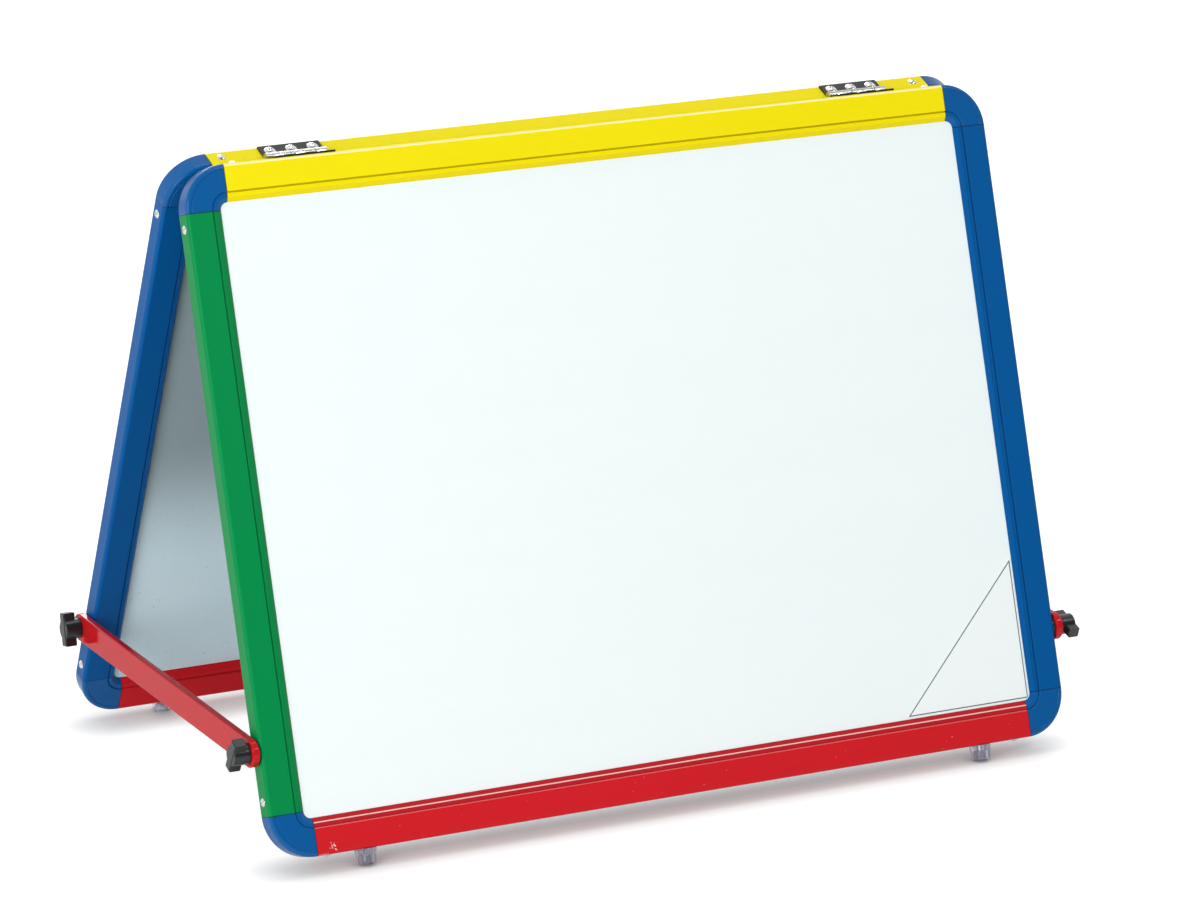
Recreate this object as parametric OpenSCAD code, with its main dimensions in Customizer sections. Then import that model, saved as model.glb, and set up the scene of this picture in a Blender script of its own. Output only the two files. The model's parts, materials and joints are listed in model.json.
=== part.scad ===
// Folding desk easel: two framed magnetic whiteboards hinged at the top edge and held apart by two stay bars.
// Units are millimetres, +Z is up, +X runs across the board and the front board faces -Y.
// The origin is on the ground below the hinge line. Left and right are as seen from the front.

/* [Boards] */
// Outer width of each framed board
panel_w = 600; // [450:5:900]
// Outer height of each framed board
panel_h = 450; // [330:5:700]
// Lean of each board from the vertical, in degrees
lean = 19.6; // [14:0.1:26]
// Depth of the frame from its back to its front
frame_d = 15; // [14:0.5:20]
// Width of the frame profile from its outer edge to the board opening
profile_w = 25; // [24:0.5:30]
// Thickness of the enamelled writing sheet
sheet_t = 0.5; // [0.3:0.1:1]
// Thickness of the board core
core_t = 6; // [4:0.5:7]
// Thickness of the backing sheet
backing_t = 0.5; // [0.3:0.1:1]
// Depth of the writing sheet below the front of the frame
sheet_set = 3; // [2.5:0.1:3.5]

/* [Frame profile] */
// Width of the flat main face between the outer edge and the groove
face_w = 17.9; // [17.5:0.1:19]
// Wall of the hollow extrusion
wall = 1.6; // [1.2:0.1:2]
// Radius of the long outer edges
edge_r = 2.5; // [1.5:0.1:3]
// Width of the V groove beside the main face
groove_w = 1.4; // [1:0.1:1.8]
// Depth of the V groove
groove_d = 1.1; // [0.6:0.1:1.4]
// Width of the ledge between the groove and the slope
ledge_w = 2.4; // [1.5:0.1:3]
// Drop of the ledge below the main face
ledge_drop = 0.4; // [0.2:0.1:0.6]
// Thickness of the lip where it meets the board
lip_t = 0.3; // [0.2:0.1:0.5]
// Play around the edge of the board in its channel
board_play = 1; // [0.5:0.1:2]

/* [Corner pieces] */
// Outer radius of each corner piece
corner_r = 30; // [30:0.5:40]
// Distance of the fine line on the corner piece from its outer edge
line_in = 3.8; // [3.2:0.1:5]
// Width of that fine line
line_w = 0.8; // [0.5:0.1:1.2]
// Length of the tongue that plugs into a rail or a stile
tongue_l = 28; // [22:1:45]
// Play of the tongue inside the extrusion
tongue_play = 0.2; // [0.1:0.05:0.4]
// Distance of a corner screw from the end of its rail or stile
screw_from_end = 9.5; // [6:0.5:18]
// Head radius of a corner screw
corner_head_r = 3; // [2.5:0.1:3.5]
// Head height of a corner screw
corner_head_h = 1.5; // [1:0.1:1.8]
// Shank radius of a corner screw
corner_shank_r = 1.6; // [1.2:0.1:1.8]
// Shank length of a corner screw
corner_shank_l = 10; // [6:0.5:13]
// Clearance of a screw shank in its hole
shank_play = 0.1; // [0.05:0.05:0.2]

/* [Feet] */
// Distance of a foot from the side edge of the board
foot_in = 67; // [50:1:110]
// Radius of a foot where it meets the rail
foot_top_r = 7.3; // [6.8:0.1:8]
// Radius of a foot at its lower end
foot_low_r = 5.7; // [5:0.1:6.5]
// Height of a foot
foot_h = 9.7; // [8:0.1:14]
// Height of the small flat that a leaning foot takes on the ground
foot_flat = 0.6; // [0.3:0.1:0.7]
// Thickness of foot between its screw head and the rail
foot_seat = 3.5; // [2.5:0.1:4.5]
// Head radius of a foot screw
foot_head_r = 3.3; // [2.8:0.1:3.6]
// Head height of a foot screw
foot_head_h = 2; // [1.2:0.1:2.4]
// Shank radius of a foot screw
foot_shank_r = 1.8; // [1.4:0.1:2]
// Shank length of a foot screw
foot_shank_l = 14; // [8:0.5:16]
// Clearance around a foot screw head in its recess
recess_play = 0.4; // [0.3:0.1:0.6]

/* [Hinges] */
// Distance of a hinge's middle from the end of the board
hinge_in = 89; // [85:1:150]
// Length of a hinge along its pin
hinge_l = 44; // [38:1:60]
// Reach of a hinge leaf from the back of the frame
leaf_reach = 13; // [11.5:0.1:14]
// Thickness of a hinge leaf
leaf_t = 1.3; // [1:0.1:1.6]
// Outer radius of the hinge knuckle
knuckle_r = 2.3; // [2:0.1:2.6]
// Radius of the hinge pin
pin_r = 1.25; // [1:0.05:1.4]
// Radial clearance between the pin and the knuckles
pin_play = 0.05; // [0.03:0.01:0.08]
// Number of knuckles on one hinge, odd
knuckles = 5; // [3:2:7]
// Gap between neighbouring knuckles
knuckle_gap = 0.3; // [0.2:0.05:0.5]
// Distance of the pin behind the back of each frame
pin_back = 0.4; // [0.3:0.1:2]
// Spacing of the three screws in a leaf
leaf_screw_step = 15.3; // [13:0.1:16]
// Distance of the leaf screws from the back of the frame
leaf_screw_in = 7; // [6.2:0.1:7.5]
// Head radius of a hinge screw
leaf_head_r = 4; // [3.2:0.1:4.2]
// Head height of a hinge screw
leaf_head_h = 1.9; // [1.2:0.1:2.2]
// Shank radius of a hinge screw
leaf_shank_r = 1.9; // [1.5:0.1:2]
// Shank length of a hinge screw
leaf_shank_l = 9; // [6:0.5:12]

/* [Stay bars] */
// Height of the knob axis up the board from the frame's lower edge
knob_up = 72.3; // [60:0.1:120]
// Height of a stay bar
stay_h = 19; // [18:0.5:24]
// Thickness of a stay bar
stay_t = 5; // [3:0.5:7]
// Radius of the long edges of a stay bar
stay_edge_r = 0.9; // [0.4:0.1:1.2]
// Clearance between a knob stud and the hole in the stay bar
stay_play = 0.3; // [0.25:0.05:0.5]
// Thickness of the flange of the threaded insert in the stile
flange_t = 0.5; // [0.4:0.1:0.8]
// Radius of that flange
flange_r = 6.5; // [6.2:0.1:7.2]
// Sleeve radius of the threaded insert
insert_r = 4.4; // [4:0.1:5]
// Length of the threaded insert
insert_l = 12; // [8:0.5:13]
// Thickness of the washer between a stile and a stay bar
washer_t = 0.8; // [0.6:0.1:1.2]
// Radius of that washer
washer_r = 7.5; // [7:0.1:8.5]
// Running clearance beside the moving washers and knobs
side_play = 0.1; // [0.05:0.05:0.2]

/* [Knobs] */
// Reach of a knob's wings from its axis
knob_r = 11.4; // [10:0.1:14]
// Width of a wing
wing_w = 6.8; // [5.6:0.1:8]
// Thickness of the wings along the axis
wing_t = 8.5; // [6:0.5:9.5]
// Bevel of the wings
wing_bevel = 0.7; // [0.3:0.1:1.2]
// Height of the wings' outer side above the end of the hub
wing_rise = 0.4; // [0.2:0.1:0.8]
// Radius of the round hub
hub_r = 6.9; // [6:0.1:8]
// Bevel of the hub's end
hub_bevel = 0.5; // [0.2:0.1:0.5]
// Height of a knob
knob_h = 12; // [11.4:0.1:14]
// Radius of a knob stud
stud_r = 3; // [2.5:0.1:3.2]
// Depth of a stud moulded into its knob
stud_in_knob = 8; // [5:0.5:9]
// Depth of a stud in the threaded insert
stud_in_insert = 9; // [5:0.5:10]
// Clearance of a stud in the insert and in the knob
stud_play = 0.05; // [0.03:0.01:0.08]
// Gap kept between a rear stud and the flange in front of it
open_gap = 0.3; // [0.2:0.05:0.5]

/* [Sticker] */
// Length of the two short sides of the triangular sticker
label_leg = 99; // [60:1:140]
// Thickness of the sticker
label_t = 0.15; // [0.1:0.05:0.3]
// Gap between the sticker and the frame
label_gap = 0.5; // [0.3:0.1:1]

/* [Hidden] */
// Rounds are exact in the solids, and this only sets the preview.
$fn = 48;
// Small overlap used where one piece is built from two shapes.
lap = 0.6;
// Depth of the core, the sheets and the channel that takes them.
stack_t = sheet_t + core_t + backing_t;
backing_set = frame_d - sheet_set - stack_t;
channel_a = face_w;
board_in = channel_a + board_play;
// Pin axis above the top face, so that a leaf lies flat on the rail.
pin_up = knuckle_r;
half_w = panel_w / 2;
hinge_x = half_w - hinge_in;
rail_l = panel_w - 2 * corner_r;
stile_l = panel_h - 2 * corner_r;
mid_d = frame_d / 2;
// Distances of a point of a board from the pin axis, down the board and out of its back.
function drop(v) = panel_h + pin_up - v;
function out(w) = w + pin_back;
// Height of the pin axis above the ground, with the feet cut flat where they stand.
pin_z = drop(-foot_h) * cos(lean) - out(mid_d - foot_low_r) * sin(lean) - foot_flat;
// Place of the front knob axis.
knob_y = -(drop(knob_up) * sin(lean) + out(mid_d) * cos(lean));
knob_z = pin_z - drop(knob_up) * cos(lean) + out(mid_d) * sin(lean);
// Planes of the stay bars and the knobs beside the stiles.
stay_gap = flange_t + washer_t;
stay_in_x = half_w + stay_gap;
stay_out_x = stay_in_x + stay_t;
knob_x = stay_out_x + side_play;
knuckle_l = hinge_l / knuckles;
yellow = [0.957, 0.894, 0.016];
red = [0.812, 0.125, 0.157];
green = [0.0, 0.569, 0.29];
blue = [0.0, 0.345, 0.608];
corner_blue = [0.0, 0.384, 0.667];
steel = [0.78, 0.79, 0.8];
black = [0.1, 0.11, 0.12];

// Puts a board drawn upright with its back on the plane Y = 0 into its leaning place at the front.
module at_front() {
    translate([0, 0, pin_z])
        rotate([-lean, 0, 0])
            translate([0, -pin_back, -panel_h - pin_up])
                children();
}

// The rear board is the same board turned half a turn about the vertical.
module at_rear() {
    rotate([0, 0, 180])
        at_front()
            children();
}

// Profile of the frame, X from the outer edge inwards and Y from the back to the front.
module profile_block() {
    translate([edge_r, edge_r])
        circle(r = edge_r);
    translate([edge_r, frame_d - edge_r])
        circle(r = edge_r);
    translate([edge_r, 0])
        square([profile_w - edge_r, frame_d]);
    translate([0, edge_r])
        square([edge_r + lap, frame_d - 2 * edge_r]);
}

// What the groove, the ledge and the slope take away, with Y as the depth below a face.
module profile_relief(set) {
    polygon([
        [face_w, -1],
        [face_w, 0],
        [face_w + groove_w / 2, groove_d],
        [face_w + groove_w, ledge_drop],
        [face_w + groove_w + ledge_w, ledge_drop + 0.2],
        [profile_w, set - lip_t],
        [profile_w + 1, set - lip_t],
        [profile_w + 1, -1]
    ]);
}

// Frame profile with its front and back reliefs and the channel for the board.
module profile_solid() {
    difference() {
        profile_block();
        profile_relief(backing_set);
        translate([0, frame_d])
            mirror([0, 1])
                profile_relief(sheet_set);
        translate([channel_a, backing_set])
            square([profile_w, stack_t]);
    }
}

// Hollow of the extrusion, shrunk by a play where a tongue is wanted.
module profile_hollow(play) {
    translate([wall + play, wall + play])
        square([channel_a - 2 * wall - 2 * play, frame_d - 2 * wall - 2 * play]);
}

module extrusion(length) {
    linear_extrude(length)
        difference() {
            profile_solid();
            profile_hollow(0);
        }
}

// Turns an extrusion along Z into one along X that lies at the lower edge of the board.
module lay_along_x() {
    rotate(a = 180, v = [1, 0, 1])
        children();
}

module upright(length) {
    mirror([0, 1, 0])
        extrusion(length);
}

// Calls its child at each corner screw on the stiles, with +Z pointing out of the frame.
module on_stile_screws() {
    for (z = [corner_r + screw_from_end, panel_h - corner_r - screw_from_end]) {
        translate([-half_w, -mid_d, z])
            rotate([0, -90, 0])
                children();
        translate([half_w, -mid_d, z])
            rotate([0, 90, 0])
                children();
    }
}

module on_rail_screws() {
    for (side = [-1, 1]) {
        translate([side * (half_w - corner_r - screw_from_end), -mid_d, panel_h])
            children();
        translate([side * (half_w - corner_r - screw_from_end), -mid_d, 0])
            rotate([180, 0, 0])
                children();
    }
}

module on_corner_screws() {
    on_stile_screws()
        children();
    on_rail_screws()
        children();
}

// Calls its child under the lower rail at one foot, with +Z pointing down out of the rail.
module on_foot(side) {
    translate([side * (half_w - foot_in), -mid_d, 0])
        rotate([180, 0, 0])
            children();
}

// Calls its child at the three screws of one hinge leaf.
module on_leaf_screws(side) {
    for (i = [-1, 0, 1])
        translate([side * hinge_x + i * leaf_screw_step, -leaf_screw_in, panel_h])
            children();
}

module on_knob_axis(side) {
    translate([side * half_w, -mid_d, knob_up])
        rotate([0, side * 90, 0])
            children();
}

// Pan head with a cross recess on its seat at Z = 0, and a plain shank below.
module pan_screw(head_r, head_h, shank_r, shank_l) {
    dome_r = (head_r * head_r + head_h * head_h) / (2 * head_h);
    difference() {
        intersection() {
            cylinder(r = head_r, h = head_h);
            translate([0, 0, head_h - dome_r])
                sphere(r = dome_r);
        }
        for (turn = [0, 90])
            rotate([0, 0, turn])
                translate([-head_r * 0.55, -head_r * 0.13, head_h * 0.45])
                    cube([head_r * 1.1, head_r * 0.26, head_h]);
    }
    translate([0, 0, -shank_l])
        cylinder(r = shank_r, h = shank_l + head_h * 0.2);
}

module corner_hole(depth) {
    translate([0, 0, -depth])
        cylinder(r = corner_shank_r + shank_play, h = depth + 1);
}

module top_rail() {
    difference() {
        translate([-rail_l / 2, 0, panel_h])
            mirror([0, 0, 1])
                lay_along_x()
                    extrusion(rail_l);
        on_rail_screws()
            corner_hole(wall + 0.5);
        for (side = [-1, 1])
            on_leaf_screws(side)
                translate([0, 0, -wall - 0.5])
                    cylinder(r = leaf_shank_r + shank_play, h = wall + 1);
    }
}

module bottom_rail() {
    difference() {
        translate([-rail_l / 2, 0, 0])
            lay_along_x()
                extrusion(rail_l);
        on_rail_screws()
            corner_hole(wall + 0.5);
        for (side = [-1, 1])
            on_foot(side)
                translate([0, 0, -wall - 0.5])
                    cylinder(r = foot_shank_r + shank_play, h = wall + 1);
    }
}

module stile(side) {
    difference() {
        mirror([side > 0 ? 1 : 0, 0, 0])
            translate([-half_w, 0, corner_r])
                upright(stile_l);
        on_stile_screws()
            corner_hole(wall + 0.5);
        on_knob_axis(side)
            translate([0, 0, -wall - 0.5])
                cylinder(r = insert_r + stud_play, h = wall + 1);
    }
}

// Corner piece at the lower left: a quarter turn of the frame profile with two tongues.
module corner_lower_left() {
    translate([corner_r - half_w, 0, corner_r])
        rotate([90, 0, 0])
            rotate([0, 0, 180])
                rotate_extrude(angle = 90)
                    translate([corner_r, 0])
                        mirror([1, 0])
                            difference() {
                                profile_solid();
                                for (y = [0, frame_d])
                                    translate([line_in, y])
                                        rotate([0, 0, 45])
                                            square(line_w / sqrt(2), center = true);
                            }
    translate([-half_w, 0, corner_r - lap])
        mirror([0, 1, 0])
            linear_extrude(tongue_l + lap)
                profile_hollow(tongue_play);
    translate([corner_r - half_w - lap, 0, 0])
        lay_along_x()
            linear_extrude(tongue_l + lap)
                profile_hollow(tongue_play);
}

module corner_piece(side, top) {
    difference() {
        translate([0, 0, top ? panel_h : 0])
            mirror([0, 0, top ? 1 : 0])
                mirror([side > 0 ? 1 : 0, 0, 0])
                    corner_lower_left();
        on_corner_screws()
            corner_hole(corner_shank_l + 1);
    }
}

// One flat layer of the board, with its corners rounded to clear the corner pieces.
module board_layer(from_back, thickness) {
    w = panel_w - 2 * board_in;
    h = panel_h - 2 * board_in;
    r = corner_r - board_in;
    translate([0, -from_back, board_in])
        rotate([90, 0, 0])
            linear_extrude(thickness) {
                for (x = [r - w / 2, w / 2 - r])
                    for (y = [r, h - r])
                        translate([x, y])
                            circle(r = r);
                translate([-w / 2, r])
                    square([w, h - 2 * r]);
                translate([r - w / 2, 0])
                    square([w - 2 * r, h]);
            }
}

module backing_sheet() {
    board_layer(backing_set, backing_t);
}

module board_core() {
    board_layer(backing_set + backing_t, core_t);
}

module writing_sheet() {
    board_layer(backing_set + backing_t + core_t, sheet_t);
}

// Blank triangular sticker in the lower right corner of the board opening.
module sticker() {
    x = half_w - profile_w - label_gap;
    z = profile_w + label_gap;
    clip = (corner_r - profile_w) * 0.6;
    translate([0, sheet_set - frame_d, 0])
        rotate([90, 0, 0])
            linear_extrude(label_t)
                polygon([[x - label_leg, z], [x - clip, z], [x, z + clip], [x, z + label_leg]]);
}

module corner_screw() {
    pan_screw(corner_head_r, corner_head_h, corner_shank_r, corner_shank_l);
}

module corner_screws() {
    on_corner_screws()
        corner_screw();
}

// Tapered foot, +Z down, with a stepped hole for its screw.
module foot() {
    difference() {
        rotate_extrude()
            polygon([
                [0, 0],
                [foot_top_r, 0],
                [foot_top_r, 0.8],
                [foot_low_r + 0.3, foot_h - 0.5],
                [foot_low_r, foot_h],
                [0, foot_h]
            ]);
        translate([0, 0, -1])
            cylinder(r = foot_shank_r + shank_play, h = foot_h + 2);
        translate([0, 0, foot_seat])
            cylinder(r = foot_head_r + recess_play, h = foot_h);
    }
}

// The ground, which cuts each leaning foot flat where it stands.
module ground() {
    translate([-panel_w, -panel_h, -panel_h])
        cube([2 * panel_w, 2 * panel_h, panel_h]);
}

module foot_screws() {
    for (side = [-1, 1])
        on_foot(side)
            translate([0, 0, foot_seat])
                pan_screw(foot_head_r, foot_head_h, foot_shank_r, foot_shank_l);
}

// Hinge leaf on the top face. The leaf owns every other knuckle, and is cut back from the rest.
module hinge_leaf(side, first) {
    difference() {
        union() {
            translate([side * hinge_x - hinge_l / 2, -leaf_reach, panel_h])
                cube([hinge_l, leaf_reach + pin_back, leaf_t]);
            translate([side * hinge_x - hinge_l / 2, pin_back, panel_h + pin_up])
                rotate([0, 90, 0])
                    cylinder(r = knuckle_r, h = hinge_l);
        }
        translate([side * hinge_x - hinge_l, pin_back, panel_h + pin_up])
            rotate([0, 90, 0])
                cylinder(r = pin_r + pin_play, h = 2 * hinge_l);
        for (i = [1 - first : 2 : knuckles - 1])
            translate([side * hinge_x - hinge_l / 2 + i * knuckle_l, 0, panel_h])
                translate([-knuckle_gap / 2, pin_back - knuckle_r - knuckle_gap, -1])
                    cube([knuckle_l + knuckle_gap, 3 * knuckle_r + knuckle_gap, 3 * knuckle_r]);
        on_leaf_screws(side)
            translate([0, 0, -1])
                cylinder(r = leaf_shank_r + shank_play, h = leaf_t + 2);
    }
}

module hinge_screws() {
    for (side = [-1, 1])
        on_leaf_screws(side)
            translate([0, 0, leaf_t])
                pan_screw(leaf_head_r, leaf_head_h, leaf_shank_r, leaf_shank_l);
}

module hinge_pin(side) {
    translate([side * hinge_x - hinge_l / 2, pin_back, panel_h + pin_up])
        rotate([0, 90, 0])
            cylinder(r = pin_r, h = hinge_l);
}

// Threaded insert, +Z out of the stile: flange, sleeve and the bulge that grips the wall.
module knob_insert() {
    difference() {
        union() {
            cylinder(r = flange_r, h = flange_t);
            translate([0, 0, -insert_l])
                cylinder(r = insert_r, h = insert_l + flange_t / 2);
            translate([0, 0, -wall - 3])
                cylinder(r = mid_d - wall - tongue_play, h = 3);
        }
        translate([0, 0, -insert_l - 1])
            cylinder(r = stud_r + stud_play, h = insert_l + 2);
    }
}

module knob_inserts() {
    for (side = [-1, 1])
        on_knob_axis(side)
            knob_insert();
}

// Washer with its back on Z = 0.
module washer(thickness) {
    difference() {
        cylinder(r = washer_r, h = thickness);
        translate([0, 0, -1])
            cylinder(r = stud_r + stay_play, h = thickness + 2);
    }
}

// Cross-section of half a stay bar, X from its middle line and Y across its thickness.
module stay_half_section() {
    square([stay_h / 2 - stay_edge_r, stay_t]);
    translate([0, stay_edge_r])
        square([stay_h / 2, stay_t - 2 * stay_edge_r]);
    for (y = [stay_edge_r, stay_t - stay_edge_r])
        translate([stay_h / 2 - stay_edge_r, y])
            circle(r = stay_edge_r);
}

// Stay bar beside the left stiles, from the front knob axis to the rear one.
module stay_left() {
    translate([-stay_out_x, 0, knob_z])
        difference() {
            union() {
                for (end = [-1, 1])
                    translate([0, end * knob_y, 0])
                        rotate([0, 90, 0])
                            rotate_extrude()
                                stay_half_section();
                translate([0, knob_y, 0])
                    rotate([-90, 0, 0])
                        linear_extrude(-2 * knob_y)
                            for (flip = [0, 1])
                                mirror([0, flip])
                                    rotate([0, 0, 90])
                                        mirror([0, 1])
                                            stay_half_section();
            }
            for (end = [-1, 1])
                translate([-1, end * knob_y, 0])
                    rotate([0, 90, 0])
                        cylinder(r = stud_r + stay_play, h = stay_t + 2);
        }
}

// Outline of a bevelled bar, centred on X and standing on the X axis.
function bevelled(w, h, cut) = [
    [cut - w / 2, 0],
    [w / 2 - cut, 0],
    [w / 2, cut],
    [w / 2, h - cut],
    [w / 2 - cut, h],
    [cut - w / 2, h],
    [-w / 2, h - cut],
    [-w / 2, cut]
];

// The two wings as one bar across the hub, bevelled all round.
module wings() {
    intersection() {
        translate([0, wing_w / 2, 0])
            rotate([90, 0, 0])
                linear_extrude(wing_w)
                    polygon(bevelled(2 * knob_r, wing_t, wing_bevel));
        translate([-knob_r, 0, 0])
            rotate([90, 0, 90])
                linear_extrude(2 * knob_r)
                    polygon(bevelled(wing_w, wing_t, wing_bevel));
    }
}

// Wing knob, +Z away from the board, with its hub standing on Z = 0.
module knob() {
    hub_h = knob_h - wing_rise;
    difference() {
        union() {
            rotate_extrude()
                polygon([
                    [0, 0],
                    [hub_r, 0],
                    [hub_r, hub_h - hub_bevel],
                    [hub_r - hub_bevel, hub_h],
                    [0, hub_h]
                ]);
            translate([0, 0, knob_h - wing_t])
                wings();
        }
        translate([0, 0, -1])
            cylinder(r = stud_r + stud_play, h = stud_in_knob + 1);
    }
}

// Calls its child at a knob on one side, at the front for end -1 and the rear for end 1.
module at_knob(side, end) {
    translate([side * knob_x, -end * knob_y, knob_z])
        rotate([0, side * 90, 0])
            children();
}

// Stud of a front knob, which reaches into the insert.
module front_stud() {
    reach = knob_x - half_w + stud_in_insert;
    translate([0, 0, -reach])
        cylinder(r = stud_r, h = reach + stud_in_knob);
}

// Stud of a rear knob, which stops just short of the insert so that the stay can swing.
module rear_stud() {
    reach = knob_x - half_w - flange_t - open_gap;
    translate([0, 0, -reach])
        cylinder(r = stud_r, h = reach + stud_in_knob);
}

module front_top_rail() {
    color(yellow)
        at_front()
            top_rail();
}

module front_bottom_rail() {
    color(red)
        at_front()
            bottom_rail();
}

module front_left_stile() {
    color(green)
        at_front()
            stile(-1);
}

module front_right_stile() {
    color(blue)
        at_front()
            stile(1);
}

module front_corner_top_left() {
    color(corner_blue)
        at_front()
            corner_piece(-1, true);
}

module front_corner_top_right() {
    color(corner_blue)
        at_front()
            corner_piece(1, true);
}

module front_corner_bottom_left() {
    color(corner_blue)
        at_front()
            corner_piece(-1, false);
}

module front_corner_bottom_right() {
    color(corner_blue)
        at_front()
            corner_piece(1, false);
}

module front_writing_sheet() {
    color([0.94, 0.97, 0.97])
        at_front()
            writing_sheet();
}

module front_board_core() {
    color([0.72, 0.6, 0.44])
        at_front()
            board_core();
}

module front_backing_sheet() {
    color([0.66, 0.73, 0.76])
        at_front()
            backing_sheet();
}

module front_label() {
    color([0.96, 0.96, 0.95])
        at_front()
            sticker();
}

module front_corner_screws() {
    color(steel)
        at_front()
            corner_screws();
}

module front_left_foot() {
    color([0.85, 0.87, 0.88, 0.6])
        difference() {
            at_front()
                on_foot(-1)
                    foot();
            ground();
        }
}

module front_right_foot() {
    color([0.85, 0.87, 0.88, 0.6])
        difference() {
            at_front()
                on_foot(1)
                    foot();
            ground();
        }
}

module front_foot_screws() {
    color(steel)
        at_front()
            foot_screws();
}

module front_left_hinge_leaf() {
    color(steel)
        at_front()
            hinge_leaf(-1, 1);
}

module front_right_hinge_leaf() {
    color(steel)
        at_front()
            hinge_leaf(1, 1);
}

module front_hinge_screws() {
    color(steel)
        at_front()
            hinge_screws();
}

module left_hinge_pin() {
    color(steel)
        at_front()
            hinge_pin(-1);
}

module right_hinge_pin() {
    color(steel)
        at_front()
            hinge_pin(1);
}

module front_knob_inserts() {
    color(steel)
        at_front()
            knob_inserts();
}

module front_left_washer() {
    color(black)
        at_front()
            on_knob_axis(-1)
                translate([0, 0, flange_t])
                    washer(washer_t);
}

module front_right_washer() {
    color(black)
        at_front()
            on_knob_axis(1)
                translate([0, 0, flange_t])
                    washer(washer_t);
}

module rear_top_rail() {
    color(yellow)
        at_rear()
            top_rail();
}

module rear_bottom_rail() {
    color(red)
        at_rear()
            bottom_rail();
}

module rear_left_stile() {
    color(blue)
        at_rear()
            stile(1);
}

module rear_right_stile() {
    color(green)
        at_rear()
            stile(-1);
}

module rear_corner_top_left() {
    color(corner_blue)
        at_rear()
            corner_piece(1, true);
}

module rear_corner_top_right() {
    color(corner_blue)
        at_rear()
            corner_piece(-1, true);
}

module rear_corner_bottom_left() {
    color(corner_blue)
        at_rear()
            corner_piece(1, false);
}

module rear_corner_bottom_right() {
    color(corner_blue)
        at_rear()
            corner_piece(-1, false);
}

module rear_writing_sheet() {
    color([0.94, 0.97, 0.97])
        at_rear()
            writing_sheet();
}

module rear_board_core() {
    color([0.72, 0.6, 0.44])
        at_rear()
            board_core();
}

module rear_backing_sheet() {
    color([0.66, 0.73, 0.76])
        at_rear()
            backing_sheet();
}

module rear_corner_screws() {
    color(steel)
        at_rear()
            corner_screws();
}

module rear_left_foot() {
    color([0.85, 0.87, 0.88, 0.6])
        difference() {
            at_rear()
                on_foot(1)
                    foot();
            ground();
        }
}

module rear_right_foot() {
    color([0.85, 0.87, 0.88, 0.6])
        difference() {
            at_rear()
                on_foot(-1)
                    foot();
            ground();
        }
}

module rear_foot_screws() {
    color(steel)
        at_rear()
            foot_screws();
}

module rear_left_hinge_leaf() {
    color(steel)
        at_rear()
            hinge_leaf(1, 0);
}

module rear_right_hinge_leaf() {
    color(steel)
        at_rear()
            hinge_leaf(-1, 0);
}

module rear_hinge_screws() {
    color(steel)
        at_rear()
            hinge_screws();
}

module rear_knob_inserts() {
    color(steel)
        at_rear()
            knob_inserts();
}

module left_stay() {
    color(red)
        stay_left();
}

module right_stay() {
    color(red)
        mirror([1, 0, 0])
            stay_left();
}

// The rear washers stay on the stay bars when these swing away.
module rear_left_washer() {
    color(black)
        translate([side_play - stay_in_x, -knob_y, knob_z])
            rotate([0, 90, 0])
                translate([0, 0, -side_play])
                    washer(washer_t - side_play);
}

module rear_right_washer() {
    color(black)
        mirror([1, 0, 0])
            translate([side_play - stay_in_x, -knob_y, knob_z])
                rotate([0, 90, 0])
                    translate([0, 0, -side_play])
                        washer(washer_t - side_play);
}

module front_left_knob() {
    color(black)
        at_knob(-1, -1)
            rotate([0, 0, -25])
                knob();
}

module front_left_stud() {
    color(steel)
        at_knob(-1, -1)
            front_stud();
}

module front_right_knob() {
    color(black)
        at_knob(1, -1)
            rotate([0, 0, -73])
                knob();
}

module front_right_stud() {
    color(steel)
        at_knob(1, -1)
            front_stud();
}

module rear_left_knob() {
    color(black)
        at_knob(-1, 1)
            rotate([0, 0, 13])
                knob();
}

module rear_left_stud() {
    color(steel)
        at_knob(-1, 1)
            rear_stud();
}

module rear_right_knob() {
    color(black)
        at_knob(1, 1)
            rotate([0, 0, -35])
                knob();
}

module rear_right_stud() {
    color(steel)
        at_knob(1, 1)
            rear_stud();
}

front_top_rail();
front_bottom_rail();
front_left_stile();
front_right_stile();
front_corner_top_left();
front_corner_top_right();
front_corner_bottom_left();
front_corner_bottom_right();
front_writing_sheet();
front_board_core();
front_backing_sheet();
front_label();
front_corner_screws();
front_left_foot();
front_right_foot();
front_foot_screws();
front_left_hinge_leaf();
front_right_hinge_leaf();
front_hinge_screws();
left_hinge_pin();
right_hinge_pin();
front_knob_inserts();
front_left_washer();
front_right_washer();
rear_top_rail();
rear_bottom_rail();
rear_left_stile();
rear_right_stile();
rear_corner_top_left();
rear_corner_top_right();
rear_corner_bottom_left();
rear_corner_bottom_right();
rear_writing_sheet();
rear_board_core();
rear_backing_sheet();
rear_corner_screws();
rear_left_foot();
rear_right_foot();
rear_foot_screws();
rear_left_hinge_leaf();
rear_right_hinge_leaf();
rear_hinge_screws();
rear_knob_inserts();
left_stay();
right_stay();
rear_left_washer();
rear_right_washer();
front_left_knob();
front_left_stud();
front_right_knob();
front_right_stud();
rear_left_knob();
rear_left_stud();
rear_right_knob();
rear_right_stud();
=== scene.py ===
"""Looks of a folding desk easel: two framed whiteboards, hinged along the top, and two red stay bars.

Lengths in the constants and comments are millimetres, and MM turns them into the scene's metres. A board's
own axes are x along it, w from its back to its face and v up from its lower edge.
"""

import json
import math

import bmesh
import bpy
from mathutils import Matrix, Vector


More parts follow.
